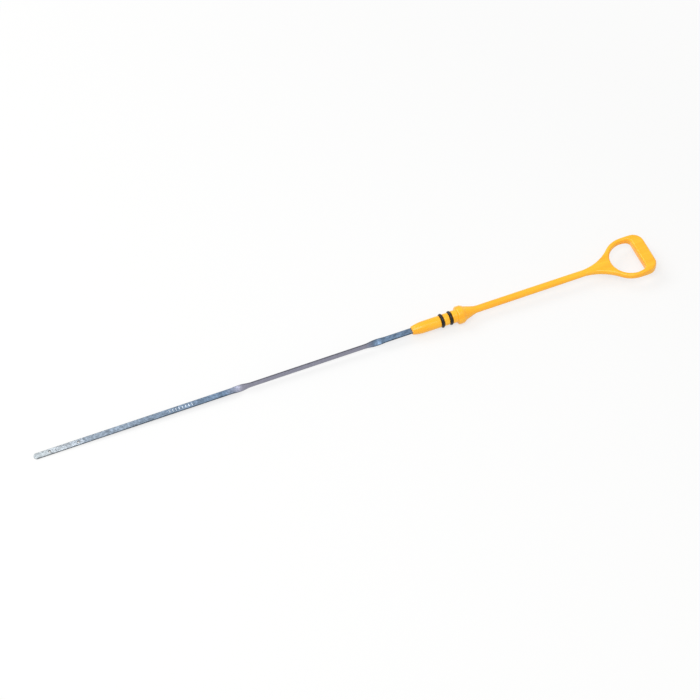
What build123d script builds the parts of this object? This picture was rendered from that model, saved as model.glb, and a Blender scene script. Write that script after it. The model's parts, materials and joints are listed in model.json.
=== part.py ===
from build123d import *
import os
from math import atan2, cos, degrees, radians, sin, sqrt

# Engine oil dipstick, in millimetres. X runs along the stick with the finger loop at +X, and Z is up.
# It lies as it comes to rest: the collar and the blade's tip touch the plane z = 0.
# Lengths are counted from the plug's nose, up the handle (+X) or down the blade (-X).

# Plug and its two seal rings
nose_d = 6.9
nose_bevel = 0.5
nose_length = 10.5
barrel_d = 9.5
barrel_length = 25.3  # nose to the middle of the lower groove
middle_land_d = 9.7
ring_spacing = 7.2
upper_land_d = 10.2
upper_land_length = 5.4  # middle of the upper groove to the collar
ring_outer_d = 11.5
ring_cord_d = 2.4
ring_floor_gap = 0.02
ring_side_gap = 0.2
ring_cord_sides = 16  # the cord's round section, with few faces

# Collar, cone and stem
collar_d = 14.5
collar_length = 4.5
collar_front_bevel = 0.8
collar_back_length = 1.9
collar_back_d = 12.7
cone_base_d = 11.8
cone_length = 9.8
cone_sweep = 2.0  # each side of the corner where the cone runs into the stem
stem_base_d = 5.8
stem_end_d = 5.5
stem_length = 91.3  # cone to the start of the neck's flare
stem_point_length = 20.0  # the stem's end thins away inside the neck
stem_point_d = 4.4

# Finger loop
neck_start_width = 4.6  # buried in the stem, so the flare grows out of the round
flare_r = 41.0
arm_width = 3.7
arm_thickness = 4.9
opening_r = 16.6
opening_length = 23.4  # round end to the grip bar
opening_corner_r = 3.5
opening_bevel = 1.0
side_draw_in = 6.0  # degrees that the arms close in towards the grip bar
bar_width = 10.1
bar_thickness = 7.4
bar_corner_r = 9.0
bar_ramp_length = 15.0
bar_brow = 4.2  # how far the ramp from arm to bar runs onto the bar
loop_edge_round = 1.7

# Steel strip
strip_width = 5.3
strip_thickness = 1.0
strip_edge_break = 0.2
tang_length = 22.0
tang_fit = 0.02
anchor_hole_d = 2.4
anchor_hole_at = 14.0  # nose to the plastic post that locks the tang
root_length = 21.0
first_twist_length = 19.0
edgewise_length = 94.0
second_twist_length = 17.0
measuring_length = 158.5
twist_angle = 90.0
twist_steps = 6
level_hole_d = 2.0
low_level_from_tip = 12.5
level_spacing = 23.0

# Places along the handle
lower_ring_x = barrel_length
upper_ring_x = lower_ring_x + ring_spacing
collar_x = upper_ring_x + upper_land_length
collar_back_x = collar_x + collar_length
cone_x = collar_back_x + collar_back_length
stem_x = cone_x + cone_length
neck_x = stem_x + stem_length

# Loop geometry: the flare runs tangent out of the stem's side and into the loop's outer circle
loop_r = opening_r + arm_width
neck_half = neck_start_width / 2
flare_run = sqrt((loop_r + flare_r) ** 2 - (neck_half + flare_r) ** 2)
loop_x = neck_x + flare_run
bar_x = loop_x - opening_r + opening_length
handle_end_x = bar_x + bar_width

# Ring grooves
groove_floor_r = ring_outer_d / 2 - ring_cord_d - ring_floor_gap
groove_half = ring_cord_d / 2 + ring_side_gap

# At rest the collar and the blade's tip lie on one plane, which tilts the stick a little
strip_length = (
    root_length + first_twist_length + edgewise_length + second_twist_length + measuring_length
)
collar_rest_x = collar_x + collar_front_bevel
rest_tilt = degrees(atan2((collar_d - strip_thickness) / 2, collar_rest_x + strip_length))


def nearest(shape, x, y):
    return shape.vertices().sort_by_distance((x, y, 0))[0]


def turned_body():
    # Half section of plug, collar, cone and stem, turned about X
    nose_r = nose_d / 2
    barrel_r = barrel_d / 2
    collar_r = collar_d / 2
    stem_r = stem_base_d / 2
    point_x = neck_x + stem_point_length
    cone_rise = (cone_base_d - stem_base_d) / 2 / cone_length
    section = [
        TangentArc((nose_length, barrel_r), (nose_bevel, nose_r), tangent=(-1, 0)),
        Polyline(
            (nose_length, barrel_r),
            (lower_ring_x - groove_half, barrel_r),
            (lower_ring_x - groove_half, groove_floor_r),
            (lower_ring_x + groove_half, groove_floor_r),
            (lower_ring_x + groove_half, middle_land_d / 2),
            (upper_ring_x - groove_half, middle_land_d / 2),
            (upper_ring_x - groove_half, groove_floor_r),
            (upper_ring_x + groove_half, groove_floor_r),
            (upper_ring_x + groove_half, upper_land_d / 2),
            (collar_x, upper_land_d / 2),
            (collar_x, collar_r - collar_front_bevel),
            (collar_x + collar_front_bevel, collar_r),
            (collar_back_x, collar_r),
            (cone_x, collar_back_d / 2),
            (cone_x, cone_base_d / 2),
            (stem_x - cone_sweep, stem_r + cone_rise * cone_sweep),
        ),
        Bezier(
            (stem_x - cone_sweep, stem_r + cone_rise * cone_sweep),
            (stem_x, stem_r),
            (stem_x + cone_sweep, stem_r),
        ),
        Bezier(
            (stem_x + cone_sweep, stem_r),
            ((stem_x + neck_x) / 2, stem_r),
            (neck_x, stem_end_d / 2),
        ),
        Polyline(
            (neck_x, stem_end_d / 2),
            (point_x, stem_point_d / 2),
            (point_x, 0),
            (0, 0),
            (0, nose_r - nose_bevel),
            (nose_bevel, nose_r),
        ),
    ]
    return revolve(make_face(section), Axis.X)


def both_halves(half):
    return make_face(half + [mirror(edge, Plane.XZ) for edge in half])


def loop_outline():
    # Plan of the loop: flare, round shoulder, arms that close in a little, square end
    lean = radians(side_draw_in)
    reach = loop_r / (loop_r + flare_r)
    shoulder = (loop_x - flare_run * reach, (neck_half + flare_r) * reach)
    side = (loop_x + loop_r * sin(lean), loop_r * cos(lean))
    end_y = (loop_r - (handle_end_x - loop_x) * sin(lean)) / cos(lean)
    flare = TangentArc((neck_x, neck_half), shoulder, tangent=(1, 0))
    round_side = TangentArc(shoulder, side, tangent=flare % 1)
    half = [
        Line((neck_x, 0), (neck_x, neck_half)),
        flare,
        round_side,
        Line(side, (handle_end_x, end_y)),
        Line((handle_end_x, end_y), (handle_end_x, 0)),
    ]
    plan = both_halves(half)
    corners = [nearest(plan, handle_end_x, end_y), nearest(plan, handle_end_x, -end_y)]
    return fillet(corners, bar_corner_r)


def opening_outline():
    # Plan of the finger opening: a round end whose sides run parallel to the arms
    lean = radians(side_draw_in)
    side = (loop_x + opening_r * sin(lean), opening_r * cos(lean))
    end_y = (opening_r - (bar_x - loop_x) * sin(lean)) / cos(lean)
    half = [
        TangentArc((loop_x - opening_r, 0), side, tangent=(0, 1)),
        Line(side, (bar_x, end_y)),
        Line((bar_x, end_y), (bar_x, 0)),
    ]
    plan = both_halves(half)
    corners = [nearest(plan, bar_x, end_y), nearest(plan, bar_x, -end_y)]
    return fillet(corners, opening_corner_r)


def loop_side():
    # Side view of the loop: even arms that swell into the thicker grip bar
    low = arm_thickness / 2
    high = bar_thickness / 2
    ramp_end = bar_x + bar_brow
    ramp_start = ramp_end - bar_ramp_length
    ramp_mid = ramp_end - bar_ramp_length / 2
    half = [
        Line((neck_x, 0), (neck_x, low)),
        Line((neck_x, low), (ramp_start, low)),
        Bezier((ramp_start, low), (ramp_mid, low), (ramp_mid, high), (ramp_end, high)),
        Line((ramp_end, high), (handle_end_x, high)),
        Line((handle_end_x, high), (handle_end_x, 0)),
    ]
    return both_halves(half)


def level_edges(edges):
    # Rims of the upper and lower sides, past the stretch where the neck leaves the stem
    level = [edge for edge in edges if abs(edge.center().Z) > arm_thickness / 4]
    return [edge for edge in level if edge.center().X > neck_x + loop_edge_round]


def finger_loop():
    blank = extrude(loop_outline(), bar_thickness, both=True)
    blank &= extrude(Plane.XZ * loop_side(), loop_r * 2, both=True)
    blank = fillet(level_edges(blank.edges()), loop_edge_round)
    opening = extrude(opening_outline(), bar_thickness, both=True)
    loop = blank - opening
    return chamfer(level_edges(new_edges(blank, opening, combined=loop)), opening_bevel)


def make_handle():
    # The pocket follows the tang, and a plastic post stays in the tang's anchor hole
    pocket = Pos(tang_length / 2, 0, 0) * Box(
        tang_length + 2 * tang_fit, strip_width + 2 * tang_fit, strip_thickness + 2 * tang_fit
    )
    post = Pos(anchor_hole_at, 0, 0) * Cylinder(anchor_hole_d / 2 - tang_fit, strip_thickness * 2)
    return turned_body() + finger_loop() - (pocket - post)


def strip_section():
    return chamfer(Rectangle(strip_width, strip_thickness).vertices(), strip_edge_break)


def strip_plane(distance):
    # Section plane of the strip, at a distance from the nose
    return Plane(origin=(-distance, 0, 0), x_dir=(0, 1, 0), z_dir=(-1, 0, 0))


def run(start, length, turn):
    return extrude(strip_plane(start) * Rot(0, 0, turn) * strip_section(), length)


def twist(start, length, from_turn, to_turn):
    sections = []
    for step in range(twist_steps + 1):
        share = step / twist_steps
        eased = share * share * (3 - 2 * share)
        turn = from_turn + (to_turn - from_turn) * eased
        sections.append(strip_plane(start + length * share) * Rot(0, 0, turn) * strip_section())
    return loft(sections)


def make_blade():
    strip = run(-tang_length, tang_length + root_length, 0)
    at = root_length
    strip += twist(at, first_twist_length, 0, -twist_angle)
    at += first_twist_length
    strip += run(at, edgewise_length, -twist_angle)
    at += edgewise_length
    strip += twist(at, second_twist_length, -twist_angle, 0)
    at += second_twist_length
    strip += run(at, measuring_length, 0)
    tip = strip_plane(strip_length - strip_width / 2)
    corners = tip * (
        Pos(0, 0, strip_width / 4) * Box(strip_width, strip_thickness * 2, strip_width / 2)
        - Rot(90, 0, 0) * Cylinder(strip_width / 2, strip_thickness * 2)
    )
    strip -= corners
    low_level = strip_length - low_level_from_tip
    for distance in (low_level, low_level - level_spacing):
        strip -= strip_plane(distance) * Rot(90, 0, 0) * Cylinder(level_hole_d / 2, strip_thickness * 2)
    strip -= Pos(anchor_hole_at, 0, 0) * Cylinder(anchor_hole_d / 2, strip_thickness * 2)
    return strip


def make_ring(x):
    middle_r = (ring_outer_d - ring_cord_d) / 2
    cord = Pos(x, middle_r) * RegularPolygon(ring_cord_d / 2, ring_cord_sides)
    return revolve(cord, Axis.X)


pieces = {
    "handle": make_handle(),
    "blade": make_blade(),
    "lower_o_ring": make_ring(lower_ring_x),
    "upper_o_ring": make_ring(upper_ring_x),
}

# Tilted to rest, then set down with its middle over the origin
lying = Rot(0, -rest_tilt, 0)
bounds = Compound([lying * piece for piece in pieces.values()]).bounding_box()
place = Pos(-bounds.center().X, 0, -bounds.min.Z) * lying

os.makedirs("parts", exist_ok=True)
for name, piece in pieces.items():
    export_step(place * piece, f"parts/{name}.step")
print("overall size", [round(size, 2) for size in bounds.size], "tilt", round(rest_tilt, 3))
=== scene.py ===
import json
import math

import bmesh
import bpy
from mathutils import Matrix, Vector


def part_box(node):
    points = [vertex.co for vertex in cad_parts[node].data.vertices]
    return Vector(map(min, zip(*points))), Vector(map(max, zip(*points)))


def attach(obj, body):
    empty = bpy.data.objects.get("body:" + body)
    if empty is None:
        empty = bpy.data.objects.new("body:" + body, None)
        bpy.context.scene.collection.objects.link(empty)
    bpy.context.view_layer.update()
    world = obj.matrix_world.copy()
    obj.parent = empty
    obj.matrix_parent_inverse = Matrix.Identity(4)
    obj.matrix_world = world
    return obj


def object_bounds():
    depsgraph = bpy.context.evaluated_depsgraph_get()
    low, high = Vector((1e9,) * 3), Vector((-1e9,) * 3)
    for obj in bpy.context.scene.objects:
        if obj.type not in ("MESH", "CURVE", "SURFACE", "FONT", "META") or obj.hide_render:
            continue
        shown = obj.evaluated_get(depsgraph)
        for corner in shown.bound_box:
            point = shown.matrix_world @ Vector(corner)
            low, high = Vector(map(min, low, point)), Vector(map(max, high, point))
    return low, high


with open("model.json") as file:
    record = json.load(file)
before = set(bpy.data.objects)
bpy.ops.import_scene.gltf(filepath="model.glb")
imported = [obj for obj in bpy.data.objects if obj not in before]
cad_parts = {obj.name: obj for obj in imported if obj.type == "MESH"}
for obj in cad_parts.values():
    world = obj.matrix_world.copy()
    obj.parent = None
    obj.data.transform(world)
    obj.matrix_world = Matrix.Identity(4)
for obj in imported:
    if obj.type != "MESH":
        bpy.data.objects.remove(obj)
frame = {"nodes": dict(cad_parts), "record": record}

mm = 0.001
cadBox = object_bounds()
scene = bpy.context.scene
nodes = frame["nodes"]
plugBarrel = next(mount for mount in frame["record"]["mounts"] if mount["name"] == "plug_barrel")
rings = ("lower_o_ring", "upper_o_ring")
print("frame loaded:", sorted(nodes))

# The stick's own directions, from the plug's mount: down the blade, across it, and up off its flat face
downBlade = Vector(plugBarrel["axis"]).normalized()
across = Vector((0, 1, 0))
offFace = across.cross(downBlade)

# The flat end of the steel strip that carries the level marks
flatEnd = {
    "thickness": 1.0 * mm,
    "sink": 0.012 * mm,  # marks start this far inside the face, so no gap shows under them
    "holes": (12.5 * mm, 35.5 * mm),  # distance of the level holes from the tip
}
bladeLow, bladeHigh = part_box("blade")
tipEnd = Vector((bladeLow.x, 0, flatEnd["thickness"] / 2))


def spotOnFlat(fromTip, side, height):
    return tipEnd - downBlade * fromTip + across * side + offFace * (flatEnd["thickness"] / 2 + height)


# Camera

photoView = {
    "azimuthDeg": -22.2,
    "elevationDeg": 52.0,
    "imagePixels": 700,
    "focalPixels": 2600,
    "pixelsPerMm": 1.29,
    "sensorWidth": 36.0,  # in millimetres, as the lens is
    "clip": (0.05, 50.0),
}
azimuth = math.radians(photoView["azimuthDeg"])
elevation = math.radians(photoView["elevationDeg"])
toCamera = Vector((
    math.sin(azimuth) * math.cos(elevation),
    -math.cos(azimuth) * math.cos(elevation),
    math.sin(elevation),
))
cameraDistance = photoView["focalPixels"] / photoView["pixelsPerMm"] * mm
cameraData = bpy.data.cameras.new("photoCamera")
cameraData.sensor_width = photoView["sensorWidth"]
cameraData.lens = photoView["sensorWidth"] * photoView["focalPixels"] / photoView["imagePixels"]
cameraData.clip_start, cameraData.clip_end = photoView["clip"]
camera = bpy.data.objects.new("photoCamera", cameraData)
camera.location = (cadBox[0] + cadBox[1]) / 2 + toCamera * cameraDistance
camera.rotation_euler = (-toCamera).to_track_quat("-Z", "Y").to_euler()
scene.collection.objects.link(camera)
scene.camera = camera
print("camera set, distance", round(cameraDistance, 3))


# Materials

# Nearly all of a noise texture lies between these two values
noiseLow = 0.3
noiseHigh = 0.7


def linear(hexColour):
    channels = [int(hexColour[i:i + 2], 16) / 255 for i in (0, 2, 4)]
    return [c / 12.92 if c <= 0.04045 else ((c + 0.055) / 1.055) ** 2.4 for c in channels] + [1.0]


def addNode(tree, kind, settings=None, links=None):
    made = tree.nodes.new("ShaderNode" + kind)
    for key, value in (settings or {}).items():
        if key == "stops":
            while len(made.color_ramp.elements) < len(value):
                made.color_ramp.elements.new(0.5)
            for element, (place, colour) in zip(made.color_ramp.elements, value):
                element.position = place
                element.color = linear(colour)
        elif isinstance(key, str) and hasattr(made, key):
            setattr(made, key, value)
        else:
            made.inputs[key].default_value = value
    for key, source in (links or {}).items():
        tree.links.new(source, made.inputs[key])
    return made


def newMaterial(name):
    material = bpy.data.materials.new(name)
    material.use_nodes = True
    material.node_tree.nodes.clear()
    return material, material.node_tree


# Nylon, dyed through and injection moulded: an even warm yellow with faint streaks where it flowed along
# the stem, and a glossy skin with a slight orange peel and a few scuffs
nylon = {
    "tones": [(0.34, "ffad0e"), (0.5, "ffb514"), (0.68, "ffbd22")],  # from deeper to fresher streaks
    "streakLength": 45 * mm,
    "streakWidth": 5 * mm,
    "skinPatch": 6 * mm,
    "peel": 0.8 * mm,
    "peelBump": {"Strength": 0.6, "Distance": 0.006 * mm},
    "scuffLength": 9 * mm,
    "scuffWidth": 0.3 * mm,  # real scuffs are finer, drawn this wide to show
    "scuffSlant": math.radians(12),
    "scuffBump": {"Strength": 0.5, "Distance": 0.003 * mm},
    "roughness": (0.2, 0.31),
    "ior": 1.53,
}


def mouldedNylon():
    material, tree = newMaterial("mouldedNylonYellow")
    spot = addNode(tree, "TexCoord").outputs["Object"]
    along = addNode(tree, "Mapping", {
        "Scale": (1 / nylon["streakLength"], 1 / nylon["streakWidth"], 1 / nylon["streakWidth"]),
    }, {"Vector": spot})
    streaks = addNode(tree, "TexNoise", {"Scale": 1.0, "Detail": 3.0, "Roughness": 0.55},
                      {"Vector": along.outputs["Vector"]})
    colour = addNode(tree, "ValToRGB", {"stops": nylon["tones"]}, {"Fac": streaks.outputs["Fac"]})
    skin = addNode(tree, "TexNoise", {"Scale": 1 / nylon["skinPatch"], "Detail": 4.0}, {"Vector": spot})
    rough = addNode(tree, "MapRange", {
        "From Min": noiseLow, "From Max": noiseHigh,
        "To Min": nylon["roughness"][0], "To Max": nylon["roughness"][1],
    }, {"Value": skin.outputs["Fac"]})
    peel = addNode(tree, "TexNoise", {"Scale": 1 / nylon["peel"], "Detail": 2.0}, {"Vector": spot})
    peelBump = addNode(tree, "Bump", nylon["peelBump"], {"Height": peel.outputs["Fac"]})
    scuffAlong = addNode(tree, "Mapping", {
        "Rotation": (0, 0, nylon["scuffSlant"]),
        "Scale": (1 / nylon["scuffLength"], 1 / nylon["scuffWidth"], 1 / nylon["scuffWidth"]),
    }, {"Vector": spot})
    scuffs = addNode(tree, "TexNoise", {"Scale": 1.0, "Detail": 2.0},
                     {"Vector": scuffAlong.outputs["Vector"]})
    scuffBump = addNode(tree, "Bump", nylon["scuffBump"],
                        {"Height": scuffs.outputs["Fac"], "Normal": peelBump.outputs["Normal"]})
    shader = addNode(tree, "BsdfPrincipled", {"IOR": nylon["ior"]}, {
        "Base Color": colour.outputs["Color"],
        "Roughness": rough.outputs["Result"],
        "Normal": scuffBump.outputs["Normal"],
    })
    addNode(tree, "OutputMaterial", None, {"Surface": shader.outputs["BSDF"]})
    return material


# Where the steel's tone and painted reflection change over at each twist, as shares of the strip's length
# from the tip
secondTwist = (0.465, 0.505)
firstTwist = (0.815, 0.84)

# Mild steel strip, cold rolled, slit and zinc plated: slate blue on its flats, with painted reflection that
# makes it an even warmer grey where it stands on edge and paler towards the tip, a speckle in the plating,
# rolling lines along its length, and painted shade darkening it towards its edges and into the level holes
slate = "657990"
# Painted reflection: the even warmer grey of the stretch that stands on edge
onEdgeReflection = "9494a3"
burnished = "c3cad2"
zincSteel = {
    # From the tip up: slate plating, with painted reflection paler towards the tip and grey where it stands
    # on edge
    "plateToneAndReflection": [
        (0.04, "9ca3a7"), (0.12, "838e9a"), (secondTwist[0], slate),
        (secondTwist[1], onEdgeReflection), (firstTwist[0], onEdgeReflection), (firstTwist[1], slate),
    ],
    "rubbed": [(0.0, burnished), (1.0, burnished)],  # where a punch or a roll has rubbed the plating bright
    "speckled": [
        (secondTwist[0], "ffffff"), (secondTwist[1], "808080"),  # less where it is on edge
        (firstTwist[0], "808080"), (firstTwist[1], "ffffff"),
    ],
    "speckleDepth": 0.46,
    "speckle": 1.8 * mm,  # the plating's crystals are near 0.2 mm, drawn this coarse to show
    "cloud": 5 * mm,
    "cloudShare": 0.45,
    "mottleSpread": 0.2,  # speckle and cloud together stray this far from their middle
    "lineLength": 24 * mm,
    "lineWidth": 0.3 * mm,  # rolling lines are near 0.05 mm, drawn this wide to show
    "lineBump": {"Strength": 0.5, "Distance": 0.004 * mm},
    "edgeShadeReach": (2.2 * mm, 2.5 * mm),  # from the strip's middle line, painted shade darkens it towards its edges
    "holeShadeReach": (1.3 * mm, 1.0 * mm),  # from a level hole's middle line, painted shade darkens it towards its wall
    # How dark the painted shade gets at the strip's edges and the holes' walls
    "paintedShadeTone": 0.36,
    "roughness": (0.42, 0.57),
}


def offLine(tree, spot, through, direction):
    # How far a place is from a straight line
    reach = addNode(tree, "VectorMath", {"operation": "SUBTRACT", 1: through}, {0: spot})
    square = addNode(tree, "VectorMath", {"operation": "CROSS_PRODUCT", 1: direction},
                     {0: reach.outputs["Vector"]})
    distance = addNode(tree, "VectorMath", {"operation": "LENGTH"}, {0: square.outputs["Vector"]})
    return distance.outputs["Value"]


def zincPlatedSteel(name, tones):
    material, tree = newMaterial(name)
    spot = addNode(tree, "TexCoord").outputs["Object"]
    along = addNode(tree, "SeparateXYZ", None, {"Vector": spot})
    share = addNode(tree, "MapRange", {"From Min": bladeLow.x, "From Max": bladeHigh.x},
                    {"Value": along.outputs["X"]})
    tone = addNode(tree, "ValToRGB", {"stops": tones}, {"Fac": share.outputs["Result"]})
    speckle = addNode(tree, "TexNoise", {"Scale": 1 / zincSteel["speckle"], "Detail": 5.0, "Roughness": 0.68},
                      {"Vector": spot})
    cloud = addNode(tree, "TexNoise", {"Scale": 1 / zincSteel["cloud"], "Detail": 2.0}, {"Vector": spot})
    mottle = addNode(tree, "Math", {"operation": "MULTIPLY_ADD", 1: zincSteel["cloudShare"]},
                     {0: cloud.outputs["Fac"], 2: speckle.outputs["Fac"]})
    middle = 0.5 + zincSteel["cloudShare"] / 2
    swing = addNode(tree, "MapRange", {
        "From Min": middle - zincSteel["mottleSpread"], "From Max": middle + zincSteel["mottleSpread"],
        "To Min": -1.0, "To Max": 1.0,
    }, {"Value": mottle.outputs["Value"]})
    amount = addNode(tree, "ValToRGB", {"stops": zincSteel["speckled"]}, {"Fac": share.outputs["Result"]})
    speckled = addNode(tree, "Math", {"operation": "MULTIPLY"},
                       {0: swing.outputs["Result"], 1: amount.outputs["Color"]})
    shade = addNode(tree, "Math", {"operation": "MULTIPLY_ADD", 1: zincSteel["speckleDepth"], 2: 1.0},
                    {0: speckled.outputs["Value"]})
    # Painted shade, darker towards the strip's edges and on the level holes' walls
    shadedLines = [(tipEnd, downBlade, zincSteel["edgeShadeReach"])]
    shadedLines += [(spotOnFlat(hole, 0, 0), offFace, zincSteel["holeShadeReach"]) for hole in flatEnd["holes"]]
    for through, direction, (bright, shadeFull) in shadedLines:
        paintedShade = addNode(tree, "MapRange", {
            "From Min": bright, "From Max": shadeFull, "To Min": 1.0, "To Max": zincSteel["paintedShadeTone"],
        }, {"Value": offLine(tree, spot, through, direction)})
        shade = addNode(tree, "Math", {"operation": "MULTIPLY"},
                        {0: shade.outputs["Value"], 1: paintedShade.outputs["Result"]})
    colour = addNode(tree, "VectorMath", {"operation": "SCALE"},
                     {0: tone.outputs["Color"], "Scale": shade.outputs["Value"]})
    rolled = addNode(tree, "Mapping", {
        "Scale": (1 / zincSteel["lineLength"], 1 / zincSteel["lineWidth"], 1 / zincSteel["lineWidth"]),
    }, {"Vector": spot})
    lines = addNode(tree, "TexNoise", {"Scale": 1.0, "Detail": 3.0}, {"Vector": rolled.outputs["Vector"]})
    rough = addNode(tree, "MapRange", {
        "From Min": noiseLow, "From Max": noiseHigh,
        "To Min": zincSteel["roughness"][0], "To Max": zincSteel["roughness"][1],
    }, {"Value": lines.outputs["Fac"]})
    lineBump = addNode(tree, "Bump", zincSteel["lineBump"], {"Height": lines.outputs["Fac"]})
    shader = addNode(tree, "BsdfPrincipled", {"Metallic": 1.0}, {
        "Base Color": colour.outputs["Vector"],
        "Roughness": rough.outputs["Result"],
        "Normal": lineBump.outputs["Normal"],
    })
    addNode(tree, "OutputMaterial", None, {"Surface": shader.outputs["BSDF"]})
    return material


# Nitrile rubber, compression moulded: near black with a smooth oily shine, a faint grey bloom and
# a fine grain
nitrile = {
    "tones": [(0.4, "0c0a09"), (0.7, "1a1615")],  # from clean black to the bloom
    "bloomPatch": 2.5 * mm,
    "grain": 0.25 * mm,
    "grainBump": {"Strength": 0.5, "Distance": 0.006 * mm},
    "roughness": (0.2, 0.34),
    "ior": 1.52,
    "specular": 0.3,
}


def nitrileRubber():
    material, tree = newMaterial("mouldedNitrileRubber")
    spot = addNode(tree, "TexCoord").outputs["Object"]
    bloom = addNode(tree, "TexNoise", {"Scale": 1 / nitrile["bloomPatch"], "Detail": 4.0}, {"Vector": spot})
    colour = addNode(tree, "ValToRGB", {"stops": nitrile["tones"]}, {"Fac": bloom.outputs["Fac"]})
    rough = addNode(tree, "MapRange", {
        "From Min": noiseLow, "From Max": noiseHigh,
        "To Min": nitrile["roughness"][0], "To Max": nitrile["roughness"][1],
    }, {"Value": bloom.outputs["Fac"]})
    grain = addNode(tree, "TexNoise", {"Scale": 1 / nitrile["grain"], "Detail": 2.0}, {"Vector": spot})
    grainBump = addNode(tree, "Bump", nitrile["grainBump"], {"Height": grain.outputs["Fac"]})
    shader = addNode(tree, "BsdfPrincipled", {
        "IOR": nitrile["ior"], "Specular IOR Level": nitrile["specular"],
    }, {
        "Base Color": colour.outputs["Color"],
        "Roughness": rough.outputs["Result"],
        "Normal": grainBump.outputs["Normal"],
    })
    addNode(tree, "OutputMaterial", None, {"Surface": shader.outputs["BSDF"]})
    return material


nylonFinish = mouldedNylon()
steelFinish = zincPlatedSteel("zincPlatedSteelStrip", zincSteel["plateToneAndReflection"])
burnishedFinish = zincPlatedSteel("burnishedZincSteel", zincSteel["rubbed"])
rubberFinish = nitrileRubber()
print("materials made")


# CAD pieces: their finish, and edges as the mould or the slitting press leaves them

# A fine even skin, softened: rounds every sharp rim of the moulding and makes the rings' cord truly round
mouldedSkin = {
    "nylon": {"grid": 0.3 * mm, "passes": 5, "regained": 0.012 * mm},
    "rubber": {"grid": 0.16 * mm, "passes": 24, "regained": 0.05 * mm},
    "softening": 0.5,
}
slitEdge = {
    "width": 0.07 * mm,
    "segments": 2,
    "sharperThan": math.radians(25),
    "flatWithin": math.radians(0.5),
}
mergeDistance = 0.002 * mm  # joins the corners that neighbouring CAD faces share


def finishNode(name, finish):
    piece = nodes[name]
    piece.data.materials.clear()
    piece.data.materials.append(finish)
    weld = piece.modifiers.new("joinFaces", "WELD")
    weld.merge_threshold = mergeDistance
    return piece


def softMoulding(piece, skin):
    even = piece.modifiers.new("mouldedSkin", "REMESH")
    even.mode = "VOXEL"
    even.voxel_size = skin["grid"]
    even.use_smooth_shade = True
    soften = piece.modifiers.new("softRims", "SMOOTH")
    soften.factor = mouldedSkin["softening"]
    soften.iterations = skin["passes"]
    regain = piece.modifiers.new("fullSize", "DISPLACE")  # gives back what the softening takes off
    regain.mid_level = 0.0
    regain.strength = skin["regained"]


softMoulding(finishNode("handle", nylonFinish), mouldedSkin["nylon"])
for ring in rings:
    softMoulding(finishNode(ring, rubberFinish), mouldedSkin["rubber"])

blade = finishNode("blade", steelFinish)
flats = blade.modifiers.new("wholeFlats", "DECIMATE")
flats.decimate_type = "DISSOLVE"
flats.angle_limit = slitEdge["flatWithin"]
broken = blade.modifiers.new("slitEdge", "BEVEL")
broken.width = slitEdge["width"]
broken.segments = slitEdge["segments"]
broken.limit_method = "ANGLE"
broken.angle_limit = slitEdge["sharperThan"]
broken.use_clamp_overlap = False
blade.modifiers.new("evenShade", "WEIGHTED_NORMAL")
print("CAD pieces finished")


# Pieces that the scene adds

def newPiece(name, mesh, finish):
    data = bpy.data.meshes.new(name)
    bmesh.ops.recalc_face_normals(mesh, faces=mesh.faces)
    mesh.to_mesh(data)
    mesh.free()
    data.materials.append(finish)
    piece = bpy.data.objects.new(name, data)
    scene.collection.objects.link(piece)
    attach(piece, "root")


def pressedRib(mesh, start, end, width, height):
    # A low hipped ridge on the flat, between two places given as distance from the tip and side
    run = (end - start).normalized()
    side = Vector((-run.y, run.x)) * width / 2
    hip = run * width / 2
    base = [start - side, start + side, end + side, end - side]
    ridge = [start + hip, end - hip]
    low = [mesh.verts.new(spotOnFlat(p.x, p.y, -flatEnd["sink"])) for p in base]
    high = [mesh.verts.new(spotOnFlat(p.x, p.y, height)) for p in ridge]
    mesh.faces.new(low)
    mesh.faces.new((low[0], low[1], high[0]))
    mesh.faces.new((low[1], low[2], high[1], high[0]))
    mesh.faces.new((low[2], low[3], high[1]))
    mesh.faces.new((low[3], low[0], high[0], high[1]))


def bandBetween(mesh, one, two):
    # Faces that join the corners of one cross-section to those of the next
    for k in range(len(one)):
        after = (k + 1) % len(one)
        mesh.faces.new((one[k], one[after], two[after], two[k]))


# Cross hatch rolled into the flat between the level holes, where the oil is read
levelHatch = {
    "holeRim": 1.35 * mm,  # left bare round each hole
    "past": 4.0 * mm,  # hatch goes on above the upper hole
    "halfWidth": 2.25 * mm,
    "pitch": 1.15 * mm,
    "angleDeg": 52,
    "ribWidth": 0.3 * mm,
    "ribHeight": 0.06 * mm,
    "places": 41,  # tried along each line
    "fewest": 5,  # a clear run of fewer places is left out
}
hatchStart = flatEnd["holes"][0]
hatchEnd = flatEnd["holes"][1] + levelHatch["past"]


def onHatch(place):
    fromHoles = min((place - Vector((hole, 0))).length for hole in flatEnd["holes"])
    return fromHoles > levelHatch["holeRim"] and hatchStart <= place.x <= hatchEnd


def clearRuns(places):
    run = []
    for place in places:
        if onHatch(place):
            run.append(place)
            continue
        yield run
        run = []
    yield run


def hatchLines(slope):
    angle = math.radians(levelHatch["angleDeg"])
    lean = levelHatch["halfWidth"] / math.tan(angle)
    step = levelHatch["pitch"] / math.sin(angle)
    shares = [2 * k / (levelHatch["places"] - 1) - 1 for k in range(levelHatch["places"])]
    for line in range(int((hatchEnd - hatchStart + 2 * lean) / step) + 1):
        middle = hatchStart - lean + line * step
        yield [Vector((middle + slope * lean * share, levelHatch["halfWidth"] * share)) for share in shares]


hatchMesh = bmesh.new()
for slope in (1, -1):
    for places in hatchLines(slope):
        for run in clearRuns(places):
            if len(run) >= levelHatch["fewest"]:
                pressedRib(hatchMesh, run[0], run[-1], levelHatch["ribWidth"], levelHatch["ribHeight"])
newPiece("levelHatch", hatchMesh, burnishedFinish)
print("level hatch made")


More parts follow.
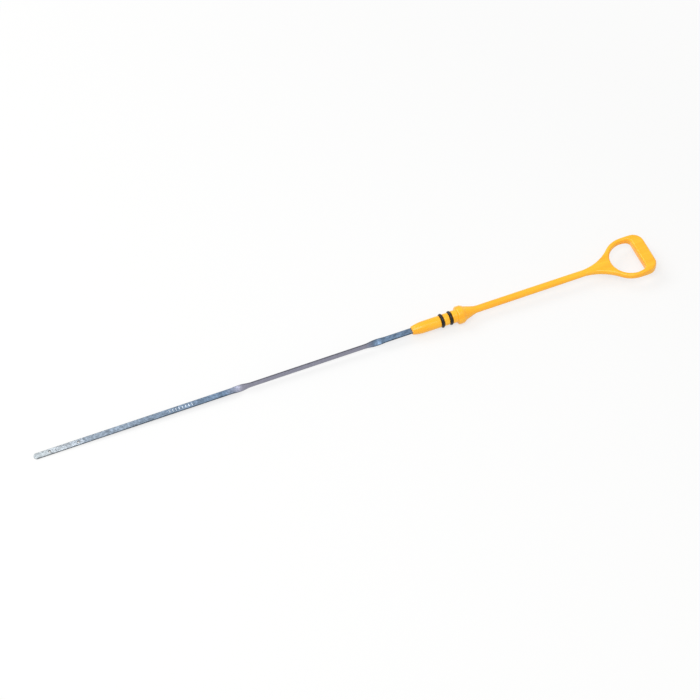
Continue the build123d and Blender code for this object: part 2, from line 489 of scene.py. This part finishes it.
# A row of plain ticks pressed into the flat, further up
tickRow = {
    "fromTip": 109 * mm,
    "count": 8,
    "spacing": 2.6 * mm,
    "halfLength": 1.2 * mm,
    "width": 0.55 * mm,
    "height": 0.05 * mm,
}
tickMesh = bmesh.new()
half = Vector((0, tickRow["halfLength"]))
for tick in range(tickRow["count"]):
    middle = Vector((tickRow["fromTip"] + tick * tickRow["spacing"], 0))
    pressedRib(tickMesh, middle - half, middle + half, tickRow["width"], tickRow["height"])
newPiece("tickRow", tickMesh, burnishedFinish)
print("tick row made")


# The fine ridge that the mould's two halves leave round the stem and the finger loop
mouldLine = {
    "fromNose": 55 * mm,  # dressed off at the plug, where the rings seal
    "width": 0.24 * mm,
    "height": 0.06 * mm,
    "sink": 0.06 * mm,
    "level": 0.013 * mm,  # just off the middle, clear of the model's own edges
    "tolerance": 0.0002 * mm,
}


def makeMouldLine():
    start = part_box("handle")[0].x + mouldLine["fromNose"]
    shell = bmesh.new()
    shell.from_mesh(nodes["handle"].data)
    bmesh.ops.remove_doubles(shell, verts=shell.verts, dist=mergeDistance)
    cut = bmesh.ops.bisect_plane(
        shell, geom=shell.verts[:] + shell.edges[:] + shell.faces[:], dist=mouldLine["tolerance"],
        plane_co=Vector(plugBarrel["pos_m"]) + offFace * mouldLine["level"], plane_no=offFace,
    )["geom_cut"]
    edges = [e for e in cut if isinstance(e, bmesh.types.BMEdge) and min(v.co.x for v in e.verts) > start]
    shell.normal_update()
    ridge = bmesh.new()
    made = {}
    for edge in edges:
        for vert in edge.verts:
            if vert in made:
                continue
            out = (vert.normal - offFace * vert.normal.dot(offFace)).normalized()
            inside = vert.co - out * mouldLine["sink"]
            made[vert] = (
                ridge.verts.new(inside - offFace * mouldLine["width"] / 2),
                ridge.verts.new(vert.co + out * mouldLine["height"]),
                ridge.verts.new(inside + offFace * mouldLine["width"] / 2),
            )
        bandBetween(ridge, *(made[vert] for vert in edge.verts))
    for vert, corners in made.items():
        if sum(vert in edge.verts for edge in edges) == 1:
            ridge.faces.new(corners)  # closes the ridge's end on the stem
    shell.free()
    newPiece("mouldLine", ridge, nylonFinish)


makeMouldLine()
print("mould line made")


# The hairline that the mould leaves round the outside of each rubber ring
ringFlash = {"steps": 120, "width": 0.14 * mm, "height": 0.04 * mm, "sink": 0.05 * mm}


def makeRingFlash(ring):
    low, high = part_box(ring)
    middle = (low + high) / 2
    radius = (high.y - low.y) / 2
    hair = bmesh.new()
    hoops = []
    for step in range(ringFlash["steps"]):
        turn = 2 * math.pi * step / ringFlash["steps"]
        out = across * math.cos(turn) + offFace * math.sin(turn)
        foot = middle + out * (radius - ringFlash["sink"])
        hoops.append((
            hair.verts.new(foot - downBlade * ringFlash["width"] / 2),
            hair.verts.new(middle + out * (radius + ringFlash["height"])),
            hair.verts.new(foot + downBlade * ringFlash["width"] / 2),
        ))
    for step, hoop in enumerate(hoops):
        bandBetween(hair, hoop, hoops[(step + 1) % len(hoops)])
    newPiece(ring + "Flash", hair, rubberFinish)


for ring in rings:
    makeRingFlash(ring)
print("ring flash made")


# Floor, light and background, in metres and watts

studio = {
    "floorReach": 6.0,
    "floorDrop": 0.05 * mm,  # keeps the floor clear of the faces that rest on it
    "ambient": 0.58,
    "lamps": {
        "keySoftbox": {"place": (-0.3, -0.5, 1.45), "size": (1.2, 0.9), "power": 12.5},
        "backSoftbox": {"place": (-0.7, 0.9, 1.2), "size": (1.2, 0.8), "power": 10.0},
    },
}


def seenRays(tree):
    # 1 for what the eye sees directly, in a reflection or through the object
    path = addNode(tree, "LightPath")
    mirrored = addNode(tree, "Math", {"operation": "MAXIMUM"},
                       {0: path.outputs["Is Camera Ray"], 1: path.outputs["Is Glossy Ray"]})
    seen = addNode(tree, "Math", {"operation": "MAXIMUM"},
                   {0: mirrored.outputs["Value"], 1: path.outputs["Is Transmission Ray"]})
    return seen.outputs["Value"]


# White paper, uncoated: matt all over, with the object's soft shadow close by and plain white further out
paper = {
    "colour": "e6e6e5",
    "glow": 0.68,  # share of plain white that the eye sees of it, the rest shows the shadow
    "shadowReach": (0.3, 0.75),  # from here to here it goes over to plain white
}


def uncoatedPaper():
    material, tree = newMaterial("uncoatedPaperWhite")
    spot = addNode(tree, "TexCoord").outputs["Object"]
    reach = addNode(tree, "VectorMath", {"operation": "LENGTH"}, {0: spot})
    white = addNode(tree, "MapRange", {
        "interpolation_type": "SMOOTHSTEP",
        "From Min": paper["shadowReach"][0], "From Max": paper["shadowReach"][1],
        "To Min": paper["glow"], "To Max": 1.0,
    }, {"Value": reach.outputs["Value"]})
    glow = addNode(tree, "Math", {"operation": "MULTIPLY"}, {0: seenRays(tree), 1: white.outputs["Result"]})
    matt = addNode(tree, "BsdfDiffuse", {"Color": linear(paper["colour"])})
    lit = addNode(tree, "Emission", {"Strength": 1.0})
    mix = addNode(tree, "MixShader", None, {
        "Fac": glow.outputs["Value"], 1: matt.outputs["BSDF"], 2: lit.outputs["Emission"],
    })
    addNode(tree, "OutputMaterial", None, {"Surface": mix.outputs["Shader"]})
    return material


floorMesh = bmesh.new()
bmesh.ops.create_grid(floorMesh, x_segments=2, y_segments=2, size=studio["floorReach"])
floorData = bpy.data.meshes.new("studioFloor")
floorMesh.to_mesh(floorData)
floorMesh.free()
floorData.materials.append(uncoatedPaper())
floor = bpy.data.objects.new("studioFloor", floorData)
floor.location.z = -studio["floorDrop"]
scene.collection.objects.link(floor)

world = bpy.data.worlds.new("paleStudio")
scene.world = world
world.use_nodes = True
worldTree = world.node_tree
worldTree.nodes.clear()
worldLevel = addNode(worldTree, "MapRange", {"To Min": studio["ambient"], "To Max": 1.0},
                     {"Value": seenRays(worldTree)})
sky = addNode(worldTree, "Background", {"Color": linear("ffffff")},
              {"Strength": worldLevel.outputs["Result"]})
addNode(worldTree, "OutputWorld", None, {"Surface": sky.outputs["Background"]})

for name, lamp in studio["lamps"].items():
    lampData = bpy.data.lights.new(name, "AREA")
    lampData.shape = "RECTANGLE"
    lampData.size, lampData.size_y = lamp["size"]
    lampData.energy = lamp["power"]
    softbox = bpy.data.objects.new(name, lampData)
    softbox.location = lamp["place"]
    softbox.rotation_euler = (-Vector(lamp["place"])).to_track_quat("-Z", "Y").to_euler()
    scene.collection.objects.link(softbox)
scene.view_settings.view_transform = "Standard"
print("studio made")
